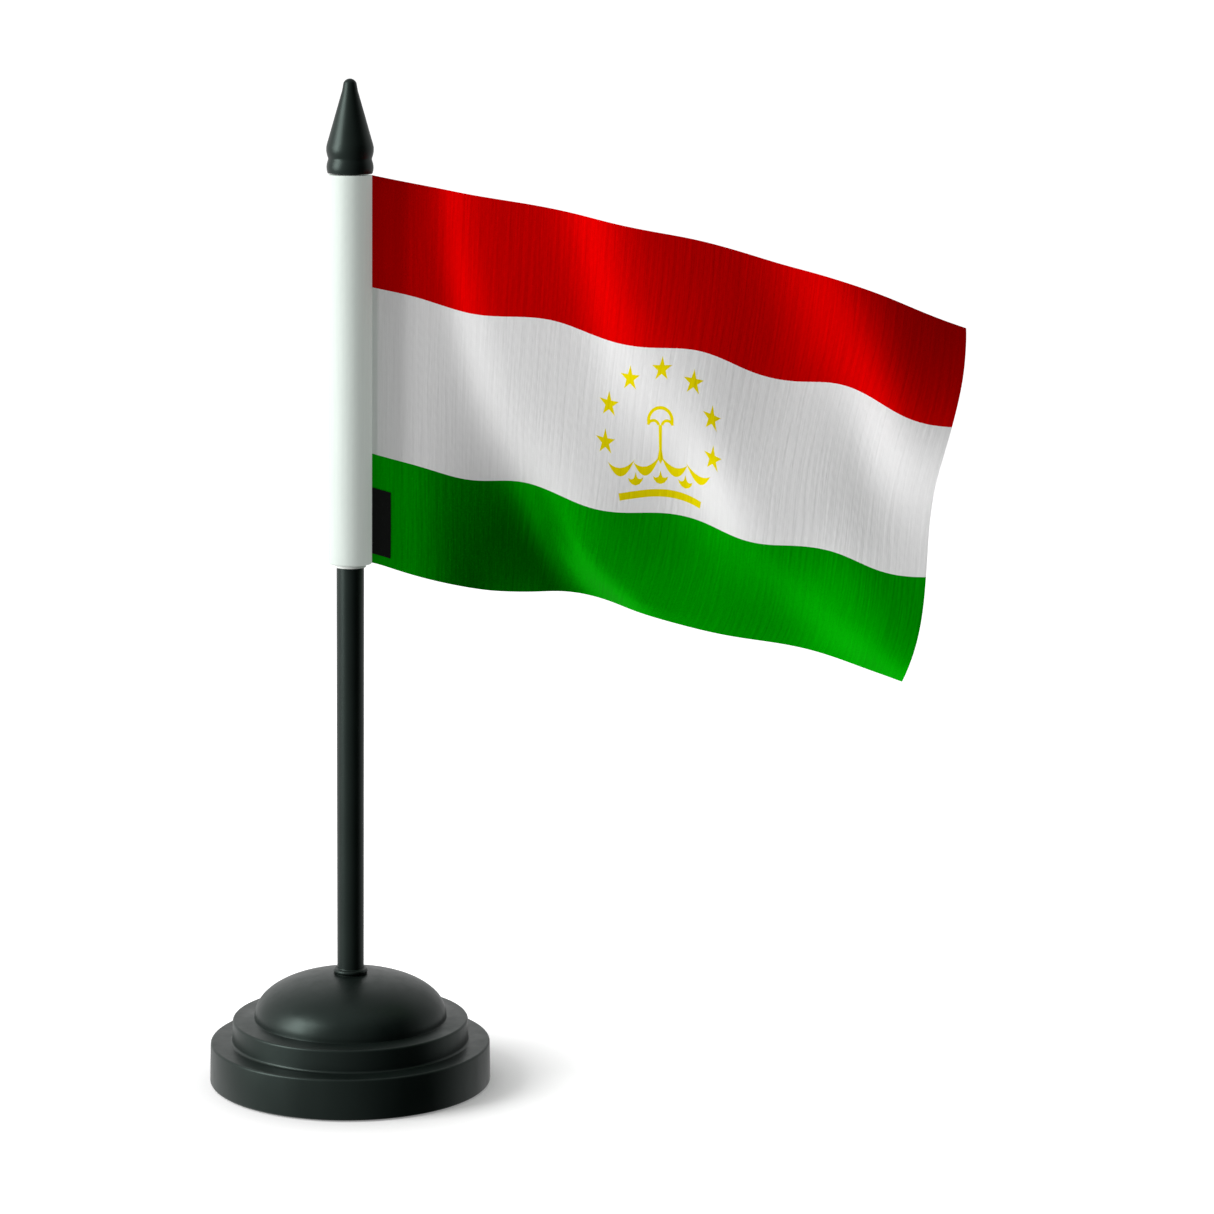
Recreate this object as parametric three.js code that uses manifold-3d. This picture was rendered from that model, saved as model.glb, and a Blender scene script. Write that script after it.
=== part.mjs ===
// Desk flag stand: a weighted round foot, a pole that plugs into it, and a small flag whose
// stiff sleeve turns freely round the pole under a push-in finial.
// Millimetres, +Z up. The origin is the centre of the underside, on the pole's axis.
// The flag flies towards +X, and its front faces -Y.
import * as THREE from "three";
import { mergeVertices } from "three/addons/utils/BufferGeometryUtils.js";
import Module from "manifold-3d";

// Foot: heights above the table, and radii.
const DISC_RADIUS = 37;
const DISC_TOP = 11.1;
const TIER_RADIUS = 31;
const TIER_TOP = 17.1;
const DOME_RADIUS = 25.3;
const DOME_FOOT = 17.5;
const DOME_RISE = 11.8;
const DOME_POWER = 2.14;
const DOME_FLAT_RADIUS = 4.6;
const RIM_BOTTOM = 0.3;
const EDGE_ROUND = 0.6;
const WALL = 2.5;

// Socket in the foot, its collar and the pole.
const BOSS_RADIUS = 7;
const SOCKET_FLOOR = 8.5;
const BOSS_BOTTOM = 6.2;
const SOCKET_RADIUS = 4.25;
const RUNNING_GAP = 0.1;
const FACE_GAP = 0.3;
const COLLAR_FLANGE_RADIUS = 4.5;
const COLLAR_FLANGE_HEIGHT = 1.2;
const COLLAR_LENGTH = 17;
const SNAP_HEIGHT = DOME_FOOT - 2.9;
const POLE_FOOT_RADIUS = 3.48;
const POLE_HEAD_RADIUS = 3.62;
const POLE_TOP = 236.6;
const POLE_BORE_RADIUS = 2;

// Flag, its sleeve and the finial.
const SLEEVE_RADIUS = 5.6;
const SLEEVE_WALL = 0.6;
const SLEEVE_BOTTOM = 138.4;
const SLEEVE_TOP = 238.3;
const FINIAL_BOTTOM = 238.6;
const FINIAL_PEG_LENGTH = 14;
const FLAG_LENGTH = 161;
const FLAG_HEIGHT = 100;
const FLAG_TOP = 238.2;
const SEAM_RADIUS = 6.2;
const SEAM_ANGLE = 0.7;
const CLOTH_THICKNESS = 0.5;
const BELLY_TUCK = 0.055;
const LABEL_WIDTH = 4.8;
const LABEL_HEIGHT = 17.3;
const LABEL_ABOVE_HEM = 2.5;

// Inside the foot.
const PAD_RADIUS = 33;
const PAD_THICKNESS = 1.3;
const COVER_RADIUS = 33.9;
const COVER_THICKNESS = 2;
const COVER_BOTTOM = PAD_THICKNESS + FACE_GAP;
const COVER_TOP = COVER_BOTTOM + COVER_THICKNESS;
const BALLAST_THICKNESS = 7;
const BALLAST_RADIUS = 21.7;
const SCREW_CIRCLE = 25.2;
const SCREW_COUNT = 3;
const SCREW_BOSS_RADIUS = 3;
const SCREW_PILOT_RADIUS = 1.5;
const SCREW_SHANK_RADIUS = 1.2;
const SCREW_HEAD_RADIUS = 2.3;

const SMOOTH = 48;
const FINE = 32;

const wasm = await Module();
wasm.setup();

function material(color, roughness, metalness = 0) {
  return new THREE.MeshStandardMaterial({ color, roughness, metalness });
}

const blackPlastic = () => material("#16191a", 0.42);
const whitePlastic = () => material("#e4e8e4", 0.45);
const steel = () => material("#8d9196", 0.35, 1);
const whiteFabric = () => material("#dfe4e0", 0.6);
const redSatin = () => material("#b80000", 0.45);
const blackRibbon = () => material("#0a0a0a", 0.7);
const greyFoam = () => material("#2c2e30", 0.95);

// Points of an arc in the profile plane, from one angle to another in degrees.
function arc(r, z, radius, from, to, steps = 2) {
  const points = [];
  for (let i = 0; i <= steps; i += 1) {
    const angle = THREE.MathUtils.degToRad(from + ((to - from) * i) / steps);
    points.push([r + radius * Math.cos(angle), z + radius * Math.sin(angle)]);
  }
  return points;
}

// Points of a rounded bead in the profile plane. It stands out from the radius foot by rise at
// the height middle, and dies away at half above and below it.
function bead(foot, rise, middle, half, from, to, steps = 5) {
  const points = [];
  for (let i = 0; i <= steps; i += 1) {
    const z = from + ((to - from) * i) / steps;
    points.push([foot + rise * Math.cos((Math.PI / 2) * ((z - middle) / half)), z]);
  }
  return points;
}

// A solid of revolution about Z. The profile runs anticlockwise in (r, z) and is closed here.
function turned(profile, segments = FINE) {
  const points = profile.map(([r, z]) => new THREE.Vector2(r, z));
  const first = points[0];
  const last = points[points.length - 1];
  if (first.distanceTo(last) > 1e-6 && !(first.x === 0 && last.x === 0)) points.push(first.clone());
  return new THREE.LatheGeometry(points, segments).rotateX(Math.PI / 2);
}

function cylinder(radius, bottom, top, segments = FINE) {
  return turned([[0, bottom], [radius, bottom], [radius, top], [0, top]], segments);
}

function toSolid(geometry) {
  const bare = geometry.clone();
  bare.deleteAttribute("normal");
  bare.deleteAttribute("uv");
  const merged = mergeVertices(bare, 1e-4);
  const vertProperties = merged.attributes.position.array;
  const triVerts = new Uint32Array(merged.index.array);
  return new wasm.Manifold(new wasm.Mesh({ numProp: 3, vertProperties, triVerts }));
}

function toGeometry(solid) {
  const { vertProperties, triVerts } = solid.getMesh();
  const geometry = new THREE.BufferGeometry();
  geometry.setAttribute("position", new THREE.BufferAttribute(vertProperties, 3));
  geometry.setIndex(new THREE.BufferAttribute(triVerts, 1));
  return geometry;
}

function screwPlaces() {
  const places = [];
  for (let i = 0; i < SCREW_COUNT; i += 1) {
    const angle = (2 * Math.PI * (i + 0.25)) / SCREW_COUNT;
    places.push([SCREW_CIRCLE * Math.cos(angle), SCREW_CIRCLE * Math.sin(angle)]);
  }
  return places;
}

// The dome is a quarter of a superellipse: height above the table at radius r.
function domeHeight(r, inset = 0) {
  const share = (r / (DOME_RADIUS - inset)) ** DOME_POWER;
  return DOME_FOOT + (DOME_RISE - inset) * (1 - share) ** (1 / DOME_POWER);
}

function domeCurve(inset, from, to, steps) {
  const points = [];
  for (let i = 0; i <= steps; i += 1) {
    const turn = from + ((to - from) * i) / steps;
    const r = (DOME_RADIUS - inset) * Math.sin(turn);
    points.push([r, domeHeight(r, inset)]);
  }
  return points;
}

function baseShell() {
  const flatStart = Math.asin(DOME_FLAT_RADIUS / DOME_RADIUS);
  const bossStart = Math.asin(BOSS_RADIUS / (DOME_RADIUS - WALL));
  const domeInside = DOME_RADIUS - WALL;
  const tierInside = TIER_RADIUS - WALL;
  const discInside = COVER_RADIUS + FACE_GAP;
  const outline = [
    [BOSS_RADIUS, BOSS_BOTTOM],
    ...domeCurve(WALL, bossStart, Math.PI / 2, 6),
    [domeInside, TIER_TOP - WALL],
    [tierInside, TIER_TOP - WALL],
    [tierInside, DISC_TOP - WALL],
    [discInside, DISC_TOP - WALL],
    [discInside, RIM_BOTTOM],
    ...arc(DISC_RADIUS - EDGE_ROUND, RIM_BOTTOM + EDGE_ROUND, EDGE_ROUND, -90, 0),
    ...arc(DISC_RADIUS - EDGE_ROUND - 0.2, DISC_TOP - EDGE_ROUND, EDGE_ROUND, 0, 90),
    [TIER_RADIUS + 0.6, DISC_TOP],
    [TIER_RADIUS + 0.1, DISC_TOP + 0.7],
    ...arc(TIER_RADIUS - EDGE_ROUND, TIER_TOP - EDGE_ROUND, EDGE_ROUND, 0, 90),
    [DOME_RADIUS + 0.1, TIER_TOP],
    ...domeCurve(0, Math.PI / 2, flatStart, 12),
    [SOCKET_RADIUS, domeHeight(DOME_FLAT_RADIUS)],
    [SOCKET_RADIUS, SNAP_HEIGHT + 1.2],
    [SOCKET_RADIUS + 0.35, SNAP_HEIGHT + 0.9],
    [SOCKET_RADIUS + 0.35, SNAP_HEIGHT - 0.9],
    [SOCKET_RADIUS, SNAP_HEIGHT - 1.2],
    [SOCKET_RADIUS, SOCKET_FLOOR],
    [0, SOCKET_FLOOR],
  ];
  let shell = toSolid(turned([[0, BOSS_BOTTOM], ...outline], SMOOTH));
  for (const [x, y] of screwPlaces()) {
    const boss = cylinder(SCREW_BOSS_RADIUS, COVER_TOP + FACE_GAP, TIER_TOP - 1, 24);
    const pilot = cylinder(SCREW_PILOT_RADIUS, COVER_TOP - 1, TIER_TOP - WALL - 1, 24);
    shell = shell.add(toSolid(boss.translate(x, y, 0)));
    shell = shell.subtract(toSolid(pilot.translate(x, y, 0)));
  }
  return toGeometry(shell);
}

function ballastDisc() {
  const bottom = COVER_TOP + FACE_GAP;
  const top = bottom + BALLAST_THICKNESS;
  const bore = BOSS_RADIUS + 0.8;
  const bevel = 0.5;
  return turned([
    [bore, bottom],
    [BALLAST_RADIUS - bevel, bottom],
    [BALLAST_RADIUS, bottom + bevel],
    [BALLAST_RADIUS, top - bevel],
    [BALLAST_RADIUS - bevel, top],
    [bore, top],
  ]);
}

// The cover is a flat plate with a countersunk hole for each screw.
function baseCover() {
  let plate = toSolid(cylinder(COVER_RADIUS, COVER_BOTTOM, COVER_TOP, SMOOTH));
  const hole = [
    [0, COVER_BOTTOM - 1],
    [SCREW_HEAD_RADIUS + 0.3, COVER_BOTTOM - 1],
    [SCREW_HEAD_RADIUS + 0.3, COVER_BOTTOM + 0.6],
    [SCREW_PILOT_RADIUS, COVER_BOTTOM + 1.6],
    [SCREW_PILOT_RADIUS, COVER_TOP + 1],
    [0, COVER_TOP + 1],
  ];
  for (const [x, y] of screwPlaces()) {
    plate = plate.subtract(toSolid(turned(hole, 24).translate(x, y, 0)));
  }
  return toGeometry(plate);
}

function coverScrew(x, y) {
  const head = COVER_BOTTOM + 0.1;
  const body = turned(
    [
      [0, head],
      [SCREW_HEAD_RADIUS, head],
      [SCREW_HEAD_RADIUS, head + 0.25],
      [SCREW_SHANK_RADIUS, head + 1.3],
      [SCREW_SHANK_RADIUS, head + 8],
      [0.3, head + 9.2],
      [0, head + 9.2],
    ],
    24,
  );
  let screw = toSolid(body);
  for (const turn of [0, Math.PI / 2]) {
    const slot = new THREE.BoxGeometry(2.6, 0.5, 1.4).rotateZ(turn).translate(0, 0, head);
    screw = screw.subtract(toSolid(slot));
  }
  return toGeometry(screw).translate(x, y, 0);
}

function nonslipPad() {
  return cylinder(PAD_RADIUS, 0, PAD_THICKNESS, SMOOTH);
}

// A flanged bush: it turns in the socket, and its snap bead keeps it from lifting out.
function socketCollar() {
  const seat = domeHeight(DOME_FLAT_RADIUS) + 0.2;
  const bottom = seat - COLLAR_LENGTH;
  const top = seat + COLLAR_FLANGE_HEIGHT;
  const bore = POLE_FOOT_RADIUS + RUNNING_GAP;
  const shank = SOCKET_RADIUS - RUNNING_GAP;
  const lip = COLLAR_FLANGE_HEIGHT / 2;
  return turned([
    [bore + 0.1, bottom],
    [shank - 0.2, bottom],
    [shank, bottom + 0.4],
    [shank, SNAP_HEIGHT - 0.7],
    [shank + 0.2, SNAP_HEIGHT - 0.4],
    [shank + 0.2, SNAP_HEIGHT + 0.4],
    [shank, SNAP_HEIGHT + 0.7],
    [shank, seat],
    ...arc(COLLAR_FLANGE_RADIUS - lip, seat + lip, lip, -80, 80, 4),
    [bore + 0.1, top],
  ]);
}

function pole() {
  const foot = SOCKET_FLOOR + FACE_GAP;
  const bevel = 0.4;
  return turned([
    [POLE_BORE_RADIUS, foot],
    [POLE_FOOT_RADIUS - bevel, foot],
    [POLE_FOOT_RADIUS, foot + bevel],
    [POLE_HEAD_RADIUS, POLE_TOP - bevel],
    [POLE_HEAD_RADIUS - bevel, POLE_TOP],
    [POLE_BORE_RADIUS, POLE_TOP],
  ]);
}

// A ring, a groove and a tapered bulb that runs straight to a rounded tip, on a slim peg.
function finial() {
  const z = FINIAL_BOTTOM;
  const pegRadius = POLE_BORE_RADIUS - RUNNING_GAP;
  const pegBottom = POLE_TOP - FINIAL_PEG_LENGTH;
  const shoulder = POLE_TOP + FACE_GAP;
  return turned([
    [0, pegBottom],
    [pegRadius - 0.5, pegBottom],
    [pegRadius, pegBottom + 1],
    [pegRadius, shoulder],
    [pegRadius + 0.4, shoulder],
    [pegRadius + 0.4, z],
    [5.4, z],
    ...bead(5.5, 0.47, z + 1.6, 2.15, z + 0.3, z + 3.6),
    ...bead(5.5, 0.54, z + 6.15, 2.5, z + 3.9, z + 8.4),
    [3.6, z + 15.35],
    [2.05, z + 20.7],
    ...arc(0, z + 22.1, 1.8, 20, 90, 4),
  ]);
}

function sleeve() {
  const outer = SLEEVE_RADIUS;
  const inner = SLEEVE_RADIUS - SLEEVE_WALL;
  const round = SLEEVE_WALL * 0.7;
  return turned([
    [inner, SLEEVE_BOTTOM],
    [outer - round, SLEEVE_BOTTOM],
    [outer - round * 0.3, SLEEVE_BOTTOM + round * 0.3],
    [outer, SLEEVE_BOTTOM + round],
    [outer, SLEEVE_TOP - 0.3],
    [outer - 0.3, SLEEVE_TOP],
    [inner, SLEEVE_TOP],
  ]);
}

// The top ring is a cap with a hole for the finial's peg. It hangs the flag on the pole's end.
function sleeveTopRing() {
  const outer = SLEEVE_RADIUS - SLEEVE_WALL - 0.25;
  const skirt = POLE_HEAD_RADIUS + 0.25;
  const hole = POLE_BORE_RADIUS + 0.6;
  const seat = POLE_TOP + 0.3;
  return turned([
    [skirt, seat - 7],
    [outer, seat - 7],
    [outer, SLEEVE_TOP - 0.1],
    [hole, SLEEVE_TOP - 0.1],
    [hole, seat],
    [skirt, seat],
  ]);
}

// The bottom ring centres the sleeve on the pole, with a lip that shows below it.
function sleeveBottomRing() {
  const outer = SLEEVE_RADIUS - SLEEVE_WALL - 0.25;
  const bore = POLE_HEAD_RADIUS + 0.2;
  const lip = bore + 0.5;
  return turned([
    [bore, SLEEVE_BOTTOM - 0.9],
    [lip, SLEEVE_BOTTOM - 0.9],
    [lip, SLEEVE_BOTTOM + 0.4],
    [outer, SLEEVE_BOTTOM + 0.6],
    [outer, SLEEVE_BOTTOM + 5],
    [bore, SLEEVE_BOTTOM + 5],
  ]);
}

// How the cloth heads at a point: droop below level and turn away from the front, in radians.
// Its folds start near the top of the hoist, lean away down the cloth and widen towards the fly.
function clothHeading(along, down) {
  const s = along / FLAG_LENGTH;
  const t = Math.max(down / FLAG_HEIGHT, 0);
  const middle = 3.38 + 0.6 * t + 1.75 * t * t;
  const fold = 2 * Math.PI * Math.max((along ** 0.4 - middle) / (1.68 + 0.16 * t), -0.5);
  const opened = 1 - Math.exp(-((along / (8 + 16 * t)) ** 2));
  const before = 1 / (1 + Math.exp(3 * fold + 2.2));
  const height = 0.3 + 0.2 * s + 0.5 * t ** 3 * Math.exp((-fold * fold) / 8);
  const crest = height * Math.exp(1.5 * (Math.cos(fold) - 1));
  const lean = 0.06 + (0.06 + 0.7 * t * t) * before - crest + 0.35 * s * s * (1 - 1.4 * t);
  const ripple = (2 * Math.PI * (along - 17.2)) / 41.2;
  const sway = (0.094 * s + 0.311 * Math.sin(Math.PI * t) - 0.048) * Math.cos(ripple);
  return {
    droop: 0.163 + 0.075 * t + 0.087 * t ** 3 - 0.361 * s * t + 0.249 * s * s + opened * sway,
    turn: opened * lean - 0.12 * (1 - opened),
  };
}

// Points of one level line of the flag, from the hoist to the fly, at even steps of cloth.
function clothLine(down, steps) {
  const point = new THREE.Vector3(
    SEAM_RADIUS * Math.cos(SEAM_ANGLE),
    SEAM_RADIUS * Math.sin(SEAM_ANGLE),
    FLAG_TOP - down,
  );
  const tuck = BELLY_TUCK * Math.sin(2.83 * (Math.max(down, 0) / FLAG_HEIGHT) ** 1.5);
  const length = (FLAG_LENGTH / steps) * (1 - tuck);
  const line = [point.clone()];
  for (let i = 0; i < steps; i += 1) {
    const { droop, turn } = clothHeading((i + 0.5) * length, down);
    point.x += length * Math.cos(droop) * Math.cos(turn);
    point.y += length * Math.sin(turn);
    point.z -= length * Math.sin(droop) * Math.cos(turn);
    line.push(point.clone());
  }
  return line;
}

// A thin closed sheet that follows the cloth between two distances along it and down it,
// with its middle lifted off the cloth's own middle towards the front.
function sheet(along, down, columns, rows, thickness, lift) {
  const width = along[1] - along[0];
  const height = down[1] - down[0];
  const stepsPerMm = 2;
  const geometry = new THREE.BoxGeometry(width, height, thickness, columns, rows, 1);
  const lines = [];
  for (let row = -1; row <= rows + 1; row += 1) {
    lines.push(clothLine(down[0] + (row * height) / rows, FLAG_LENGTH * stepsPerMm));
  }
  const at = (column, row) => {
    const distance = along[0] + (column * width) / columns;
    const index = THREE.MathUtils.clamp(distance, 0, FLAG_LENGTH) * stepsPerMm;
    const line = lines[THREE.MathUtils.clamp(row + 1, 0, rows + 2)];
    const before = Math.floor(index);
    const after = Math.min(before + 1, line.length - 1);
    return line[before].clone().lerp(line[after], index - before);
  };
  const place = geometry.attributes.position;
  for (let i = 0; i < place.count; i += 1) {
    const column = Math.round(((place.getX(i) + width / 2) * columns) / width);
    const row = Math.round(((height / 2 - place.getY(i)) * rows) / height);
    const onward = at(column + 1, row).sub(at(column - 1, row));
    const downward = at(column, row + 1).sub(at(column, row - 1));
    const front = downward.cross(onward).normalize();
    const point = at(column, row).addScaledVector(front, lift + place.getZ(i));
    place.setXYZ(i, point.x, point.y, point.z);
  }
  return geometry;
}

function flagCloth() {
  return sheet([0, FLAG_LENGTH], [0, FLAG_HEIGHT], 48, 12, CLOTH_THICKNESS, 0);
}

function wovenLabel() {
  const bottom = FLAG_HEIGHT - LABEL_ABOVE_HEM;
  const start = 1;
  const along = [start, start + LABEL_WIDTH];
  const down = [bottom - LABEL_HEIGHT, bottom];
  const thickness = 0.4;
  return sheet(along, down, 4, 6, thickness, CLOTH_THICKNESS / 2 + FACE_GAP + thickness / 2);
}

const flagStand = new THREE.Group();

function add(name, geometry, finish) {
  const mesh = new THREE.Mesh(geometry, finish);
  mesh.name = name;
  flagStand.add(mesh);
}

add("base_shell", baseShell(), blackPlastic());
add("ballast_disc", ballastDisc(), steel());
add("base_cover", baseCover(), blackPlastic());
screwPlaces().forEach(([x, y], i) => add(`cover_screw_${i + 1}`, coverScrew(x, y), steel()));
add("nonslip_pad", nonslipPad(), greyFoam());
add("socket_collar", socketCollar(), blackPlastic());
add("pole", pole(), blackPlastic());
add("finial", finial(), blackPlastic());
add("sleeve", sleeve(), whiteFabric());
add("sleeve_top_ring", sleeveTopRing(), whitePlastic());
add("sleeve_bottom_ring", sleeveBottomRing(), whitePlastic());
add("flag_cloth", flagCloth(), redSatin());
add("woven_label", wovenLabel(), blackRibbon());

export default flagStand;
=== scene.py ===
import math

import bpy
import numpy as np
from mathutils import Matrix, Vector, geometry

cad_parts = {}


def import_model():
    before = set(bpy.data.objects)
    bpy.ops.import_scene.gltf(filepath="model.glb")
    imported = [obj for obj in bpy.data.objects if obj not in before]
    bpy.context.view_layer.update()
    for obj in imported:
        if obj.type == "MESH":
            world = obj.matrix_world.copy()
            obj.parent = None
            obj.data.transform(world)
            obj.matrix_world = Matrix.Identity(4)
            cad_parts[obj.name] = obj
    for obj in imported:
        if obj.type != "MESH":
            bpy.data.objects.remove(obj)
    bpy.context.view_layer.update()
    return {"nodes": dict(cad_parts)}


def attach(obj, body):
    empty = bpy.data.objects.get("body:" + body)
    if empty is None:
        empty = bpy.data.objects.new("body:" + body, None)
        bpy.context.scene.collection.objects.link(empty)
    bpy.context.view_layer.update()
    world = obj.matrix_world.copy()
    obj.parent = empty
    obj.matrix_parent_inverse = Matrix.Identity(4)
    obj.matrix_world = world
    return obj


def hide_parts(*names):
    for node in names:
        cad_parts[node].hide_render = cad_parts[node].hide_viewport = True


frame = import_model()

# Desk flag stand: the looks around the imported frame. Lengths below are in millimetres unless
# a name says otherwise, and MM turns them into the scene's metres.
MM = 0.001

# Foot, as in the CAD model.
DISC_RADIUS, DISC_TOP = 37.0, 11.1
TIER_RADIUS, TIER_TOP = 31.0, 17.1
DOME_RADIUS, DOME_FOOT, DOME_RISE, DOME_POWER = 25.3, 17.5, 11.8, 2.14
DOME_FLAT_RADIUS = 4.6
RIM_BOTTOM = 0.3
EDGE_ROUND = 0.6
WALL = 2.5
COVER_RADIUS = 33.9
SOCKET_RADIUS, SOCKET_FLOOR = 4.25, 8.5
BOSS_RADIUS, BOSS_BOTTOM = 7.0, 6.2
COLLAR_FLANGE_RADIUS, COLLAR_FLANGE_HEIGHT, COLLAR_LENGTH = 4.5, 1.2, 17.0

# Pole, sleeve and finial.
POLE_FOOT_RADIUS, POLE_HEAD_RADIUS, POLE_BORE_RADIUS = 3.48, 3.62, 2.0
POLE_BOTTOM, POLE_TOP = 8.8, 236.6
SLEEVE_RADIUS, SLEEVE_WALL = 5.6, 0.6
SLEEVE_BOTTOM, SLEEVE_TOP = 138.4, 238.3
FINIAL_BOTTOM = 238.6

# Flag, flat and as it flies.
FLAG_LENGTH, FLAG_HEIGHT, FLAG_TOP = 161.0, 100.0, 238.2
SEAM_RADIUS, SEAM_ANGLE = 6.2, 0.7
CLOTH_THICKNESS = 0.22
STRIPES = (2 / 7, 5 / 7)
WAVE_HOLD = 0.8
BELLY_TUCK = 0.055
TAPE_RADIUS, TAPE_LIFT = 5.78, 0.3
LABEL_ALONG, LABEL_HEIGHT, LABEL_ABOVE_HEM = (0.6, 6.0), 17.3, 2.5
TAPE_ALONG, TAPE_HEM = (-5.0, 2.0), 0.4

ROUND = 160

# Camera, in millimetres and degrees.
CAMERA_PLACE = (66.5, -915.0, 284.15)
CAMERA_TILT, CAMERA_ROLL, CAMERA_LENS = 9.7, 0.663, 106.25

# Light: radiance of the room on each side, the glow of the floor by the foot, kept low there as painted
# shade, and away from it, between two distances in metres, the painted glow of the sleeve, and the
# softbox's watts.
ROOM_LEFT, ROOM_RIGHT, ROOM_BACK = 0.7, 0.0, 0.9
ROOM_TOP, ROOM_LOW, ROOM_RIM = 0.65, 1.4, 0.6
NEAR_GLOW_PAINTED_SHADE, FLOOR_GLOW, SLEEVE_PAINTED_GLOW = 0.22, 0.68, 0.26
GLOW_START, GLOW_END = 0.038, 0.08
KEY_POWER = 11.0


# ---------------------------------------------------------------- meshes

def link(name, mesh):
    piece = bpy.data.objects.new(name, mesh)
    bpy.context.scene.collection.objects.link(piece)
    return piece


def mesh_piece(name, points_mm, faces, smooth_angle=None):
    mesh = bpy.data.meshes.new(name)
    mesh.from_pydata([tuple(MM * c for c in p) for p in points_mm], [], faces)
    mesh.update()
    if smooth_angle is not None:
        mesh.shade_smooth()
        mesh.set_sharp_from_angle(angle=math.radians(smooth_angle))
    return link(name, mesh)


def arc(r, z, radius, start, end, steps=6):
    turn = np.radians(np.linspace(start, end, steps + 1))
    return [(r + radius * math.cos(a), z + radius * math.sin(a)) for a in turn]


def bead(foot, rise, middle, half, start, end, steps):
    """A rounded bead on a profile, which stands out from the radius foot by rise at its middle."""
    heights = np.linspace(start, end, steps + 1)
    return [(foot + rise * math.cos(math.pi / 2 * (z - middle) / half), z) for z in heights]


def turned(name, profile, segments=ROUND, smooth_angle=32):
    """A solid of revolution about Z. The profile is a closed outline in (r, z)."""
    on_axis = [i for i, (r, _) in enumerate(profile) if r < 1e-9]
    points, rings = [], []
    for r, z in profile:
        if r < 1e-9:
            rings.append([len(points)] * segments)
            points.append((0, 0, z))
            continue
        rings.append(list(range(len(points), len(points) + segments)))
        for k in range(segments):
            a = 2 * math.pi * k / segments
            points.append((r * math.cos(a), r * math.sin(a), z))
    faces = []
    count = len(profile)
    for i in range(count):
        j = (i + 1) % count
        if i in on_axis and j in on_axis:
            continue
        for k in range(segments):
            m = (k + 1) % segments
            loop = [rings[i][k], rings[i][m], rings[j][m], rings[j][k]]
            loop = list(dict.fromkeys(loop))
            if len(loop) > 2:
                faces.append(loop)
    return mesh_piece(name, points, faces, smooth_angle)


# ---------------------------------------------------------------- turned pieces

def dome_height(r, inset=0.0):
    share = min(1.0, r / (DOME_RADIUS - inset)) ** DOME_POWER
    return DOME_FOOT + (DOME_RISE - inset) * (1 - share) ** (1 / DOME_POWER)


def dome_curve(inset, start, end, steps):
    curve = []
    for turn in np.linspace(start, end, steps + 1):
        r = (DOME_RADIUS - inset) * math.sin(turn)
        curve.append((r, dome_height(r, inset)))
    return curve


def base_body():
    inside = COVER_RADIUS + 0.3
    flat = math.asin(DOME_FLAT_RADIUS / DOME_RADIUS)
    boss = math.asin(BOSS_RADIUS / (DOME_RADIUS - WALL))
    rim = DISC_RADIUS - 0.2
    profile = [
        (inside, RIM_BOTTOM),
        *arc(DISC_RADIUS - EDGE_ROUND, RIM_BOTTOM + EDGE_ROUND, EDGE_ROUND, -90, 0),
        *arc(rim - EDGE_ROUND, DISC_TOP - EDGE_ROUND, EDGE_ROUND, 0, 90),
        (TIER_RADIUS + 0.75, DISC_TOP),
        *arc(TIER_RADIUS + 0.75, DISC_TOP + 0.65, 0.65, -90, -180)[1:],
        *arc(TIER_RADIUS - EDGE_ROUND, TIER_TOP - EDGE_ROUND, EDGE_ROUND, 0, 90),
        (DOME_RADIUS + 0.35, TIER_TOP),
        (DOME_RADIUS + 0.05, TIER_TOP + 0.15),
        *dome_curve(0, math.pi / 2, flat, 48),
        (SOCKET_RADIUS + 0.15, dome_height(DOME_FLAT_RADIUS)),
        (SOCKET_RADIUS, dome_height(DOME_FLAT_RADIUS) - 0.15),
        (SOCKET_RADIUS, SOCKET_FLOOR),
        (0, SOCKET_FLOOR),
        (0, BOSS_BOTTOM),
        (BOSS_RADIUS, BOSS_BOTTOM),
        *dome_curve(WALL, boss, math.pi / 2, 24),
        (DOME_RADIUS - WALL, TIER_TOP - WALL),
        (TIER_RADIUS - WALL, TIER_TOP - WALL),
        (TIER_RADIUS - WALL, DISC_TOP - WALL),
        (inside, DISC_TOP - WALL),
    ]
    return turned("base_body", profile)


def collar_bush():
    seat = dome_height(DOME_FLAT_RADIUS) + 0.2
    bottom = seat - COLLAR_LENGTH
    bore, shank = POLE_FOOT_RADIUS + 0.1, SOCKET_RADIUS - 0.1
    lip = COLLAR_FLANGE_HEIGHT / 2
    profile = [
        (bore, bottom),
        (shank, bottom),
        (shank, seat),
        *arc(COLLAR_FLANGE_RADIUS - lip, seat + lip, lip, -90, 90, 12),
        *arc(bore + 0.3, seat + COLLAR_FLANGE_HEIGHT + 0.25, 0.3, -60, -180, 4)[1:],
    ]
    return turned("collar_bush", profile)


def pole_tube():
    bevel = 0.35
    profile = [
        (POLE_BORE_RADIUS, POLE_BOTTOM),
        (POLE_FOOT_RADIUS - bevel, POLE_BOTTOM),
        (POLE_FOOT_RADIUS, POLE_BOTTOM + bevel),
        (POLE_HEAD_RADIUS, POLE_TOP - bevel),
        (POLE_HEAD_RADIUS - bevel, POLE_TOP),
        (POLE_BORE_RADIUS, POLE_TOP),
    ]
    return turned("pole_tube", profile, 96)


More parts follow.
